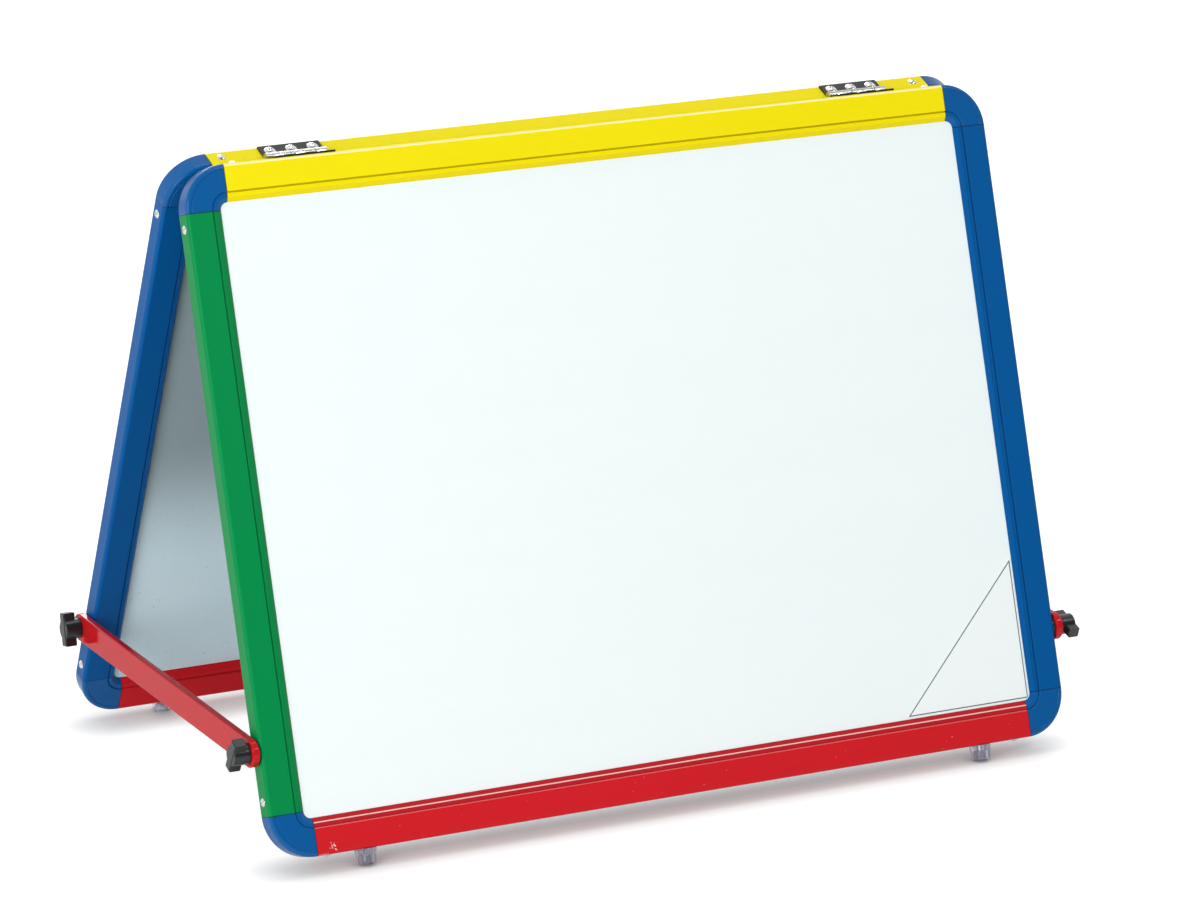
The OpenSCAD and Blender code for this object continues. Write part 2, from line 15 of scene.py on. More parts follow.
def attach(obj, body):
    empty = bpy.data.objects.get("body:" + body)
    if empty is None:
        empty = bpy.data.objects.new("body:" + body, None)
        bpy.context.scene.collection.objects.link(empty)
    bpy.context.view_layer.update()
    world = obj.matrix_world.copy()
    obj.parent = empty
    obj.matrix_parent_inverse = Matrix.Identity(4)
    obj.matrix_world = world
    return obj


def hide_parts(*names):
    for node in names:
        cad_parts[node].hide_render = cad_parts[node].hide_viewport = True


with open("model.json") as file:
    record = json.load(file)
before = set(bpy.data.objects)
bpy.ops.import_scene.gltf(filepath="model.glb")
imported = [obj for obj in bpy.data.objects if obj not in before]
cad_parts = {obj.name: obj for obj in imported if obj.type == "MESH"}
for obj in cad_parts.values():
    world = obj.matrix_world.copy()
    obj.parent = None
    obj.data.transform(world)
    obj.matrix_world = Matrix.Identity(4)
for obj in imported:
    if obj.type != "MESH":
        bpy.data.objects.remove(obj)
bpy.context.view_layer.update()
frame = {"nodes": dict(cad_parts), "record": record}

MM = 0.001

# Sizes of the boards that the pieces and the finishes below repeat.
BOARD_W = 600
BOARD_H = 450
LEAN = math.radians(19.6)
FRAME_D = 15
PROFILE_W = 25
CORNER_R = 30
# Middle and half width of the groove along each profile, in from the frame's outer edge.
GROOVE_IN = 18.7
GROOVE_HALF = 0.6
LABEL_LEG = 99
LABEL_GAP = 0.5

# The pins lie behind each board's back and above its top face. A knuckle's radius is PIN_UP, and the
# painted highlight on it reaches a little past it.
PIN_BACK = 0.4
PIN_UP = 2.3
PIN_Z = 433.8925
KNUCKLE_HIGHLIGHT_REACH = 3.1

# Places of the screws: past a corner piece, in a hinge leaf and in a foot.
END_SCREW_IN = 9.5
HINGE_IN = 89
LEAF_T = 1.3
LEAF_SCREW_STEP = 15.3
LEAF_SCREW_IN = 7.0
FOOT_IN = 67
FOOT_SEAT = 3.5
# Head radius, head height, shank radius and shank length of each kind of screw. The front leaves' heads are
# flatter, because in the photograph none of them stands proud of the knuckle.
CORNER_SCREW = (3.0, 1.5, 1.6, 10.0)
HINGE_SCREW = {"front": (4.0, 1.3, 1.9, 9.0), "rear": (4.0, 1.85, 1.9, 9.0)}
FOOT_SCREW = (3.3, 2.0, 1.8, 14.0)


def on_board(end, x, w, v):
    """World place of a point of the front (-1) or the rear (1) board."""
    back = w + PIN_BACK
    drop = BOARD_H + PIN_UP - v
    y = drop * math.sin(LEAN) + back * math.cos(LEAN)
    z = PIN_Z - drop * math.cos(LEAN) + back * math.sin(LEAN)
    return Vector((-end * x * MM, end * y * MM, z * MM))


def board_way(end, x, w, v):
    """World direction of a direction in a board's own axes."""
    y = w * math.cos(LEAN) - v * math.sin(LEAN)
    z = w * math.sin(LEAN) + v * math.cos(LEAN)
    return Vector((-end * x, end * y, z))


def linear(code):
    """Linear colour of an sRGB hex code."""
    parts = [int(code[i:i + 2], 16) / 255 for i in (0, 2, 4)]
    return tuple(c / 12.92 if c <= 0.04045 else ((c + 0.055) / 1.055) ** 2.4 for c in parts) + (1.0,)


def add(tree, kind, inputs=(), **settings):
    """Add a node; inputs maps a socket's name or number to a value or to the socket that feeds it."""
    made = tree.nodes.new(kind)
    for name, value in settings.items():
        setattr(made, name, value)
    for name, value in dict(inputs).items():
        if isinstance(value, bpy.types.NodeSocket):
            tree.links.new(value, made.inputs[name])
        else:
            made.inputs[name].default_value = value
    return made


# Finishes ---------------------------------------------------------------------------------------


def new_finish(name):
    """Empty material with its tree and its object coordinates."""
    material = bpy.data.materials.new(name)
    material.use_nodes = True
    tree = material.node_tree
    tree.nodes.clear()
    return material, tree, add(tree, "ShaderNodeTexCoord").outputs["Object"]


def board_axes(tree, place):
    """A point's own x, w and v on whichever board it lies, in metres."""
    parts = add(tree, "ShaderNodeSeparateXYZ", {0: place}).outputs
    away = add(tree, "ShaderNodeMath", {0: parts["Y"]}, operation="ABSOLUTE").outputs[0]
    folded = add(tree, "ShaderNodeCombineXYZ", {"X": parts["X"], "Y": away, "Z": parts["Z"]}).outputs[0]
    origin_w = -(PIN_Z * math.sin(LEAN) + PIN_BACK) * MM
    origin_v = (BOARD_H + PIN_UP - PIN_Z * math.cos(LEAN)) * MM
    return add(tree, "ShaderNodeMapping", {
        "Vector": folded, "Rotation": (-LEAN, 0, 0), "Location": (0, origin_w, origin_v),
    }).outputs[0]


def from_middle(tree, parts):
    """How far a point lies from its board's middle, along x and along v, in metres."""
    aside = add(tree, "ShaderNodeMath", {0: parts["X"]}, operation="ABSOLUTE").outputs[0]
    rise = add(tree, "ShaderNodeMath", {0: parts["Z"], 1: BOARD_H / 2 * MM}, operation="SUBTRACT").outputs[0]
    return aside, add(tree, "ShaderNodeMath", {0: rise}, operation="ABSOLUTE").outputs[0]


def surface(tree, clouds, shades, rough, relief, height_mm, edge_mm=0.0, marks=(), **values):
    """Finish a material: a colour and a roughness that wander with the clouds, a relief and soft edges.

    marks are pairs of a mask and the colour that it brings in; values are the shader's constants.
    """
    colour = add(tree, "ShaderNodeMix", {
        0: clouds, 6: linear(shades[0]), 7: linear(shades[1]),
    }, data_type="RGBA").outputs[2]
    for mask, code in marks:
        colour = add(tree, "ShaderNodeMix", {
            0: mask, 6: colour, 7: linear(code),
        }, data_type="RGBA").outputs[2]
    roughness = add(tree, "ShaderNodeMapRange", {
        "Value": clouds, "To Min": rough[0], "To Max": rough[1],
    }).outputs[0]
    bump = add(tree, "ShaderNodeBump", {"Height": relief, "Strength": 1.0, "Distance": height_mm * MM})
    if edge_mm:
        edge = add(tree, "ShaderNodeBevel", {"Radius": edge_mm * MM}, samples=6)
        tree.links.new(edge.outputs[0], bump.inputs["Normal"])
    shader = add(tree, "ShaderNodeBsdfPrincipled", {
        "Base Color": colour, "Roughness": roughness, "Normal": bump.outputs[0],
    })
    for name, value in values.items():
        shader.inputs[name.replace("_", " ")].default_value = value
    add(tree, "ShaderNodeOutputMaterial", {"Surface": shader.outputs[0]})


# The four coats: the way that the profile runs in a board's own axes, the coat's two shades, the colour of
# its dark joints, which the groove also gets as painted shade, and the lines along its outer side. The lines
# are painted light: painted shade on the ledge, on the slope to the sheet and in the yellow groove, and
# painted highlights on the red crests, the red groove's edge and the yellow outer edge. Soft light alone
# doesn't bring that out, so it is drawn. Each line has its distance in from the frame's outer edge, half its
# width, its shade and its strength.
COATS = {
    "yellow": {
        "along": "x", "shades": ("F3E306", "F0DF04"), "joint": "6A5F04",
        # Painted shade in the groove and on the slope, and a painted highlight along the outer edge.
        "lines": ((18.6, 0.6, "8A7405", 0.25), (24.0, 2.0, "E4CC10", 0.4), (1.3, 0.6, "FFFACC", 0.7)),
    },
    "red": {
        "along": "x", "shades": ("D11F28", "CB1C25"), "joint": "4A0A10",
        # Painted shade on the ledge and the slope, and painted highlights on the groove's edge and the crest.
        "lines": ((22.2, 3.4, "AE2129", 0.9), (18.2, 0.35, "EE6E6C", 0.9), (21.8, 0.4, "F6C4BE", 0.9)),
    },
    "green": {
        "along": "v", "shades": ("008B48", "018645"), "joint": "013C20",
        # Painted shade on the slope.
        "lines": ((22.0, 2.6, "017F42", 0.5),),
    },
    "blue": {
        "along": "v", "shades": ("005699", "005394"), "joint": "02203C",
        # A thin line of painted shade along the profile.
        "lines": ((21.3, 0.5, "014680", 0.5),),
    },
}


def coated_extrusion(colour, along, shades, joint, lines):
    """Powder-coated aluminium extrusion: a satin, even colour with a fine peel.

    Faint lines from the die show through it along the profile, which runs along "x" in a rail and along "v"
    in a stile. The groove is darkened as painted shade, and the joint with each corner is a thin dark line.
    The lines give painted shade and painted highlights along the outer side.
    """
    material, tree, place = new_finish("coated_%s_%s" % (colour, "rail" if along == "x" else "stile"))
    flat = board_axes(tree, place)
    # The die's lines are about 0.2 mm apart; they are drawn 0.7 mm apart, so that they show.
    fine, long = 1 / (0.7 * MM), 1 / (180 * MM)
    scale = (long, fine, fine) if along == "x" else (fine, fine, long)
    drawn = add(tree, "ShaderNodeMapping", {"Vector": flat, "Scale": scale}).outputs[0]
    die = add(tree, "ShaderNodeTexNoise", {"Vector": drawn, "Scale": 1.0, "Detail": 2.0}).outputs[0]
    peel = add(tree, "ShaderNodeTexNoise", {
        "Vector": place, "Scale": 1 / (1.1 * MM), "Detail": 1.0,
    }).outputs[0]
    clouds = add(tree, "ShaderNodeTexNoise", {
        "Vector": place, "Scale": 1 / (70 * MM), "Detail": 3.0,
    }).outputs[0]
    relief = add(tree, "ShaderNodeMath", {0: die, 1: peel}, operation="ADD").outputs[0]

    parts = add(tree, "ShaderNodeSeparateXYZ", {0: flat}).outputs
    aside, rise = from_middle(tree, parts)
    if along == "x":
        run, half_run, across, half_across = aside, BOARD_W / 2, rise, BOARD_H / 2
    else:
        run, half_run, across, half_across = rise, BOARD_H / 2, aside, BOARD_W / 2
    end = half_run - CORNER_R
    seam = add(tree, "ShaderNodeMapRange", {
        "Value": run, "From Min": (end - 0.5) * MM, "From Max": (end - 0.2) * MM, "To Max": 0.75,
    }).outputs[0]
    inward = add(tree, "ShaderNodeMath", {0: half_across * MM, 1: across}, operation="SUBTRACT").outputs[0]
    outer = add(tree, "ShaderNodeMath", {
        0: parts["Y"], 1: FRAME_D / 2 * MM,
    }, operation="GREATER_THAN").outputs[0]
    groove = add(tree, "ShaderNodeMath", {
        0: inward, 1: GROOVE_IN * MM, 2: GROOVE_HALF * MM,
    }, operation="COMPARE").outputs[0]
    # Painted shade in the groove, in the joints' dark colour.
    marks = [(add(tree, "ShaderNodeMath", {0: groove, 1: 0.3}, operation="MULTIPLY").outputs[0], joint)]
    # The lines are painted shade and painted highlights, on the outer side only.
    for at, half, shade, strength in lines:
        line = add(tree, "ShaderNodeMath", {
            0: inward, 1: at * MM, 2: half * MM,
        }, operation="COMPARE").outputs[0]
        line = add(tree, "ShaderNodeMath", {0: line, 1: outer}, operation="MULTIPLY").outputs[0]
        line = add(tree, "ShaderNodeMath", {0: line, 1: strength}, operation="MULTIPLY").outputs[0]
        marks.append((line, shade))
    marks.append((seam, joint))
    if colour == "red":
        marks.append((scuffs(tree, place, parts), "F2E4E0"))
    surface(tree, clouds, shades, (0.3, 0.38), relief, 0.012, 0.3, marks, IOR=1.5, Specular_IOR_Level=0.1)
    return material


def scuffs(tree, place, parts):
    """Mask of a scratched patch and a worn lower edge near the left end of the front bottom rail."""
    # A stroke is about 0.9 mm wide and 3.5 mm long, and slants.
    slanted = add(tree, "ShaderNodeMapping", {
        "Vector": place, "Rotation": (0, 0.5, 0), "Scale": (1 / (0.9 * MM), 1 / (0.9 * MM), 1 / (3.5 * MM)),
    }).outputs[0]
    strokes = add(tree, "ShaderNodeTexNoise", {"Vector": slanted, "Scale": 1.0, "Detail": 4.0}).outputs[0]
    masks = []
    # Middle in x and v, half length, half height, and how much noise a stroke needs to show in the middle.
    for x, v, half_long, half_high, bite in ((-258.5, 4.8, 5.5, 5.0, 0.50), (-265.5, 0.6, 6.0, 1.2, 0.42)):
        far_x = add(tree, "ShaderNodeMath", {0: parts["X"], 1: x * MM}, operation="SUBTRACT").outputs[0]
        far_x = add(tree, "ShaderNodeMath", {0: far_x, 1: half_long * MM}, operation="DIVIDE").outputs[0]
        far_v = add(tree, "ShaderNodeMath", {0: parts["Z"], 1: v * MM}, operation="SUBTRACT").outputs[0]
        far_v = add(tree, "ShaderNodeMath", {0: far_v, 1: half_high * MM}, operation="DIVIDE").outputs[0]
        spot = add(tree, "ShaderNodeCombineXYZ", {"X": far_x, "Y": far_v}).outputs[0]
        far = add(tree, "ShaderNodeVectorMath", {0: spot}, operation="LENGTH").outputs["Value"]
        needed = add(tree, "ShaderNodeMapRange", {"Value": far, "To Min": bite, "To Max": 0.75}).outputs[0]
        masks.append(add(tree, "ShaderNodeMath", {
            0: strokes, 1: needed,
        }, operation="GREATER_THAN").outputs[0])
    both = add(tree, "ShaderNodeMath", {0: masks[0], 1: masks[1]}, operation="MAXIMUM").outputs[0]
    world_y = add(tree, "ShaderNodeSeparateXYZ", {0: place}).outputs["Y"]
    front = add(tree, "ShaderNodeMath", {0: world_y, 1: 0.0}, operation="LESS_THAN").outputs[0]
    both = add(tree, "ShaderNodeMath", {0: both, 1: front}, operation="MULTIPLY").outputs[0]
    return add(tree, "ShaderNodeMath", {0: both, 1: 0.85}, operation="MULTIPLY").outputs[0]


def moulded_corner():
    """Injection-moulded ABS from a polished tool: glossy, its reflections slowly rippled, its joints dark."""
    material, tree, place = new_finish("moulded_blue_abs")
    ripple = add(tree, "ShaderNodeTexNoise", {
        "Vector": place, "Scale": 1 / (7 * MM), "Detail": 1.0,
    }).outputs[0]
    clouds = add(tree, "ShaderNodeTexNoise", {
        "Vector": place, "Scale": 1 / (25 * MM), "Detail": 4.0,
    }).outputs[0]
    parts = add(tree, "ShaderNodeSeparateXYZ", {0: board_axes(tree, place)}).outputs
    aside, rise = from_middle(tree, parts)
    # A board is wider than it is high, so the rise gets half the difference before the two are compared.
    rise = add(tree, "ShaderNodeMath", {
        0: rise, 1: (BOARD_W - BOARD_H) / 2 * MM,
    }, operation="ADD").outputs[0]
    nearer = add(tree, "ShaderNodeMath", {0: aside, 1: rise}, operation="MINIMUM").outputs[0]
    joint = BOARD_W / 2 - CORNER_R
    seam = add(tree, "ShaderNodeMapRange", {
        "Value": nearer, "From Min": (joint + 0.45) * MM, "From Max": (joint + 0.2) * MM, "To Max": 0.75,
    }).outputs[0]
    surface(tree, clouds, ("025A9C", "045494"), (0.16, 0.26), ripple, 0.05, 0.35, [(seam, "02203C")],
            IOR=1.53, Specular_IOR_Level=0.22)
    return material


def enamelled_sheet():
    """Dry-wipe enamel on steel: cool white and smooth, with faint slanting streaks left by wiping."""
    material, tree, place = new_finish("white_steel_enamel")
    slanted = add(tree, "ShaderNodeMapping", {
        "Vector": place, "Rotation": (0, 0.5, 0), "Scale": (1 / (260 * MM), 1 / (40 * MM), 1 / (22 * MM)),
    }).outputs[0]
    wipes = add(tree, "ShaderNodeTexNoise", {"Vector": slanted, "Scale": 1.0, "Detail": 5.0}).outputs[0]
    peel = add(tree, "ShaderNodeTexNoise", {"Vector": place, "Scale": 1 / (3 * MM), "Detail": 1.0}).outputs[0]
    surface(tree, wipes, ("F1FAF9", "EEF8F8"), (0.16, 0.26), peel, 0.004, IOR=1.5, Specular_IOR_Level=0.2)
    return material


def coated_backing():
    """Zinc-coated steel sheet with a pale wash coat: cloudy, with a fine rolled grain, painted shade at the
    fold.
    """
    material, tree, place = new_finish("pale_zinc_coated_steel")
    rolled = add(tree, "ShaderNodeMapping", {
        "Vector": place, "Scale": (1 / (30 * MM), 1 / (1.2 * MM), 1 / (1.2 * MM)),
    }).outputs[0]
    grain = add(tree, "ShaderNodeTexNoise", {"Vector": rolled, "Scale": 1.0, "Detail": 3.0}).outputs[0]
    clouds = add(tree, "ShaderNodeTexNoise", {
        "Vector": place, "Scale": 1 / (45 * MM), "Detail": 6.0,
    }).outputs[0]
    # Painted shade: the sheet is drawn darker towards the fold.
    up = add(tree, "ShaderNodeSeparateXYZ", {0: board_axes(tree, place)}).outputs["Z"]
    painted_fold_shade = add(tree, "ShaderNodeMapRange", {
        "Value": up, "From Min": 115 * MM, "From Max": 225 * MM, "To Max": 0.9,
    }, interpolation_type="SMOOTHSTEP").outputs[0]
    specks = add(tree, "ShaderNodeTexNoise", {
        "Vector": place, "Scale": 1 / (1.6 * MM), "Detail": 1.0,
    }).outputs[0]
    specks = add(tree, "ShaderNodeMapRange", {
        "Value": specks, "From Min": 0.74, "From Max": 0.78, "To Max": 0.5,
    }).outputs[0]
    surface(tree, clouds, ("E2F6FD", "D6EEF5"), (0.35, 0.5), grain, 0.015,
            marks=[(painted_fold_shade, "8A9A9F"), (specks, "6F7A7E")], IOR=1.45)
    return material


def pressed_fibreboard():
    """Hardboard: brown pressed fibres, seen only where the board ends inside the frame."""
    material, tree, place = new_finish("pressed_fibreboard")
    fibres = add(tree, "ShaderNodeTexNoise", {
        "Vector": place, "Scale": 1 / (0.8 * MM), "Detail": 6.0,
    }).outputs[0]
    surface(tree, fibres, ("9C7A50", "7C5D3A"), (0.8, 0.9), fibres, 0.05)
    return material


def coated_stay():
    """Gloss powder coat on a flat steel bar: deep red with a slight orange peel."""
    material, tree, place = new_finish("gloss_red_coated_bar")
    peel = add(tree, "ShaderNodeTexNoise", {
        "Vector": place, "Scale": 1 / (2.2 * MM), "Detail": 1.5,
    }).outputs[0]
    clouds = add(tree, "ShaderNodeTexNoise", {
        "Vector": place, "Scale": 1 / (30 * MM), "Detail": 3.0,
    }).outputs[0]
    surface(tree, clouds, ("C21620", "BA141C"), (0.07, 0.11), peel, 0.006, 0.3,
            IOR=1.5, Specular_IOR_Level=0.17)
    return material


def grained_nylon(name, shades, rough):
    """Glass-filled nylon moulding: near black, with a fine even grain and a dull shine."""
    material, tree, place = new_finish(name)
    # The real grain is about 0.1 mm; it is drawn at 0.35 mm, so that it shows.
    grain = add(tree, "ShaderNodeTexNoise", {
        "Vector": place, "Scale": 1 / (0.35 * MM), "Detail": 2.0,
    }).outputs[0]
    clouds = add(tree, "ShaderNodeTexNoise", {
        "Vector": place, "Scale": 1 / (4 * MM), "Detail": 3.0,
    }).outputs[0]
    surface(tree, clouds, shades, rough, grain, 0.012, 0.3, IOR=1.53)
    return material


def zinc_plated(name, shades, rough, patch_mm, height_mm, knuckle=None):
    """Bright zinc plate on steel: a metal whose plating is cloudy in patches, with fine grit in it.

    A hinge's knuckle, rolled round its pin, is lightened to the knuckle shade as a painted highlight.
    """
    material, tree, place = new_finish(name)
    clouds = add(tree, "ShaderNodeTexNoise", {
        "Vector": place, "Scale": 1 / (patch_mm * MM), "Detail": 4.0,
    }).outputs[0]
    grit = add(tree, "ShaderNodeTexNoise", {
        "Vector": place, "Scale": 1 / (0.5 * MM), "Detail": 2.0,
    }).outputs[0]
    marks = []
    # Painted highlight: within reach of its pin, the knuckle takes the knuckle colour.
    if knuckle:
        pin = (0, 0, -PIN_Z * MM)
        from_pin = add(tree, "ShaderNodeVectorMath", {0: place, 1: pin}, operation="ADD").outputs[0]
        across = add(tree, "ShaderNodeVectorMath", {
            0: from_pin, 1: (0, 1, 1),
        }, operation="MULTIPLY").outputs[0]
        reach = add(tree, "ShaderNodeVectorMath", {0: across}, operation="LENGTH").outputs["Value"]
        rolled = add(tree, "ShaderNodeMath", {
            0: reach, 1: KNUCKLE_HIGHLIGHT_REACH * MM,
        }, operation="LESS_THAN").outputs[0]
        knuckle_highlight_mask = add(tree, "ShaderNodeMath", {0: rolled, 1: 0.8}, operation="MULTIPLY").outputs[0]
        marks.append((knuckle_highlight_mask, knuckle))
    surface(tree, clouds, shades, rough, grit, height_mm, 0.15, marks, Metallic=1.0)
    return material


def clear_foot():
    """Clear soft PVC, slightly milky and lilac, through which the foot's screw shows."""
    material, tree, place = new_finish("clear_soft_pvc")
    haze = add(tree, "ShaderNodeTexNoise", {
        "Vector": place, "Scale": 1 / (2.5 * MM), "Detail": 3.0,
    }).outputs[0]
    surface(tree, haze, ("CDCFDC", "B9BBCB"), (0.08, 0.2), haze, 0.03, 0.4,
            IOR=1.5, Transmission_Weight=0.9)
    return material


def blank_label():
    """Blank white film with a thin grey border line printed just inside its three edges."""
    material, tree, place = new_finish("blank_white_label_film")
    fibre = add(tree, "ShaderNodeTexNoise", {
        "Vector": place, "Scale": 1 / (1.5 * MM), "Detail": 4.0,
    }).outputs[0]
    parts = add(tree, "ShaderNodeSeparateXYZ", {0: board_axes(tree, place)}).outputs
    right = (BOARD_W / 2 - PROFILE_W - LABEL_GAP) * MM
    low = (PROFILE_W + LABEL_GAP) * MM
    from_right = add(tree, "ShaderNodeMath", {0: right, 1: parts["X"]}, operation="SUBTRACT").outputs[0]
    from_low = add(tree, "ShaderNodeMath", {0: parts["Z"], 1: low}, operation="SUBTRACT").outputs[0]
    both = add(tree, "ShaderNodeMath", {0: from_right, 1: from_low}, operation="ADD").outputs[0]
    slant = add(tree, "ShaderNodeMath", {0: LABEL_LEG * MM, 1: both}, operation="SUBTRACT").outputs[0]
    slant = add(tree, "ShaderNodeMath", {0: slant, 1: math.sqrt(0.5)}, operation="MULTIPLY").outputs[0]
    edge = add(tree, "ShaderNodeMath", {0: from_right, 1: from_low}, operation="MINIMUM").outputs[0]
    edge = add(tree, "ShaderNodeMath", {0: edge, 1: slant}, operation="MINIMUM").outputs[0]
    # The line is 0.8 mm wide, and its middle lies 1.5 mm in from the film's edge.
    line = add(tree, "ShaderNodeMath", {0: edge, 1: 1.5 * MM, 2: 0.4 * MM}, operation="COMPARE").outputs[0]
    surface(tree, fibre, ("F2F9F8", "EFF7F6"), (0.3, 0.4), fibre, 0.004, marks=[(line, "62706F")],
            IOR=1.45, Specular_IOR_Level=0.2)
    return material


FINISH_OF_SLOT = {colour + "_coat": coated_extrusion(colour, **coat) for colour, coat in COATS.items()}
screw_zinc = zinc_plated("zinc_plated_screw", ("EAEAE8", "D8D9D8"), (0.16, 0.26), 2, 0.003)
stud_zinc = zinc_plated("zinc_plated_stud", ("C9CAC9", "B4B6B6"), (0.22, 0.34), 2, 0.003)
FINISH_OF_SLOT.update({
    "corner_plastic": moulded_corner(),
    "white_enamel": enamelled_sheet(),
    "board_core": pressed_fibreboard(),
    "backing_metal": coated_backing(),
    "label_film": blank_label(),
    "screw_steel": screw_zinc,
    "foot_rubber": clear_foot(),
    "hinge_steel": zinc_plated("dull_zinc_hinge", ("585A58", "1B1D1E"), (0.18, 0.4), 1.6, 0.02, "D2D0CA"),
    "insert_steel": stud_zinc,
    "stud_steel": stud_zinc,
    "stay_paint": coated_stay(),
    "washer_plastic": grained_nylon("black_nylon_washer", ("141618", "101214"), (0.4, 0.5)),
    "knob_plastic": grained_nylon("black_nylon_knob", ("1B1E20", "131517"), (0.24, 0.34)),
})
slot_of_node = {part["node"]: part["material_slot"] for part in frame["record"]["subparts"]}
for name, solid in frame["nodes"].items():
    solid.data.materials.clear()
    solid.data.materials.append(FINISH_OF_SLOT[slot_of_node[name]])

# Screws -----------------------------------------------------------------------------------------


def lathe(shape, profile, steps=40):
    """Turn a line of (radius, height) points round Z; both its ends lie on the axis."""
    angles = [math.tau * i / steps for i in range(steps)]
    rings = []
    for radius, height in profile:
        if radius == 0:
            rings.append([shape.verts.new((0, 0, height))])
            continue
        rings.append([shape.verts.new((radius * math.cos(a), radius * math.sin(a), height)) for a in angles])
    for low, high in zip(rings, rings[1:]):
        for i in range(steps):
            j = (i + 1) % steps
            corners = [low[i % len(low)], low[j % len(low)], high[j % len(high)], high[i % len(high)]]
            unique = list(dict.fromkeys(corners))
            if len(unique) > 2:
                shape.faces.new(unique)


def screw_mesh(head_r, head_h, shank_r, shank_l):
    """Pan-head screw standing with its seat at Z = 0, with a tapered cross recess and softened edges."""
    # The shank ends in a tip, and the head rises from a low rim into a dome.
    tip_l = 1.2
    rim = 0.35 * head_h
    steps = 9
    dome_r = (head_r ** 2 + head_h ** 2) / (2 * head_h)
    profile = [
        (0, -shank_l), (shank_r * 0.5, -shank_l), (shank_r, -shank_l + tip_l), (shank_r, 0),
        (head_r * 0.97, 0), (head_r, 0.12),
    ]
    for i in range(1, steps):
        r = head_r * math.cos(i / steps * math.pi / 2) ** 0.8
        dome = head_h - dome_r + math.sqrt(dome_r ** 2 - r ** 2)
        profile.append((r, max(rim * i / steps, dome)))
    profile.append((0, head_h))
    shape = bmesh.new()
    lathe(shape, profile)
    bmesh.ops.recalc_face_normals(shape, faces=shape.faces)
    mesh = bpy.data.meshes.new("screw_body")
    shape.to_mesh(mesh)
    shape.free()
    body = bpy.data.objects.new("screw_body", mesh)
    bpy.context.collection.objects.link(body)

    # The recess is two crossed slots that get shorter and narrower towards their floor.
    cut = bmesh.new()
    half = head_r * 0.12
    for turn in (0, math.pi / 2):
        corners = []
        for z, reach, side in ((head_h * 0.4, head_r * 0.3, half * 0.8), (head_h * 1.2, head_r * 0.56, half)):
            corners.append([cut.verts.new(Matrix.Rotation(turn, 3, "Z") @ Vector((sx * reach, sy * side, z)))
                            for sx, sy in ((-1, -1), (1, -1), (1, 1), (-1, 1))])
        cut.faces.new(corners[0][::-1])
        cut.faces.new(corners[1])
        for i in range(4):
            j = (i + 1) % 4
            cut.faces.new((corners[0][i], corners[0][j], corners[1][j], corners[1][i]))
    mesh_cut = bpy.data.meshes.new("cross_cut")
    cut.to_mesh(mesh_cut)
    cut.free()
    cross = bpy.data.objects.new("cross_cut", mesh_cut)
    bpy.context.collection.objects.link(cross)

    carve = body.modifiers.new("cross", "BOOLEAN")
    carve.operation = "DIFFERENCE"
    carve.object = cross
    carve.solver = "EXACT"
    carve.use_self = True
    soften = body.modifiers.new("soften", "BEVEL")
    soften.width = 0.08
    soften.segments = 2
    soften.limit_method = "ANGLE"
    soften.angle_limit = math.radians(40)
    ready = body.evaluated_get(bpy.context.evaluated_depsgraph_get())
    out = bpy.data.meshes.new_from_object(ready)
    bpy.data.objects.remove(body)
    bpy.data.objects.remove(cross)
    out.transform(Matrix.Scale(MM, 4))
    out.shade_smooth()
    out.set_sharp_from_angle(angle=math.radians(35))
    out.materials.append(screw_zinc)
    return out


def screw_tree():
    """Geometry Nodes: a screw on every point, its head along the point's 'out', turned by its 'twist'."""
    tree = bpy.data.node_groups.new("screws_on_points", "GeometryNodeTree")
    for name, kind, way in (("Points", "NodeSocketGeometry", "INPUT"), ("Screw", "NodeSocketObject", "INPUT"),
                            ("Size", "NodeSocketFloat", "INPUT"), ("Finish", "NodeSocketMaterial", "INPUT"),
                            ("Screws", "NodeSocketGeometry", "OUTPUT")):
        tree.interface.new_socket(name=name, in_out=way, socket_type=kind)
    given = add(tree, "NodeGroupInput").outputs
    out = add(tree, "GeometryNodeInputNamedAttribute", {"Name": "out"}, data_type="FLOAT_VECTOR").outputs[0]
    twist = add(tree, "GeometryNodeInputNamedAttribute", {"Name": "twist"}, data_type="FLOAT").outputs[0]
    aimed = add(tree, "FunctionNodeAlignRotationToVector", {"Vector": out}, axis="Z").outputs[0]
    spin = add(tree, "FunctionNodeAxisAngleToRotation", {"Axis": (0, 0, 1), "Angle": twist}).outputs[0]
    turned = add(tree, "FunctionNodeRotateRotation", {0: aimed, 1: spin}, rotation_space="LOCAL").outputs[0]
    one = add(tree, "GeometryNodeObjectInfo", {"Object": given["Screw"]}).outputs["Geometry"]
    placed = add(tree, "GeometryNodeInstanceOnPoints", {
        "Points": given["Points"], "Instance": one, "Rotation": turned, "Scale": given["Size"],
    }).outputs[0]
    whole = add(tree, "GeometryNodeRealizeInstances", {"Geometry": placed}).outputs[0]
    done = add(tree, "GeometryNodeSetMaterial", {"Geometry": whole, "Material": given["Finish"]}).outputs[0]
    add(tree, "NodeGroupOutput", {"Screws": done})
    return tree


SCREWS_ON_POINTS = screw_tree()


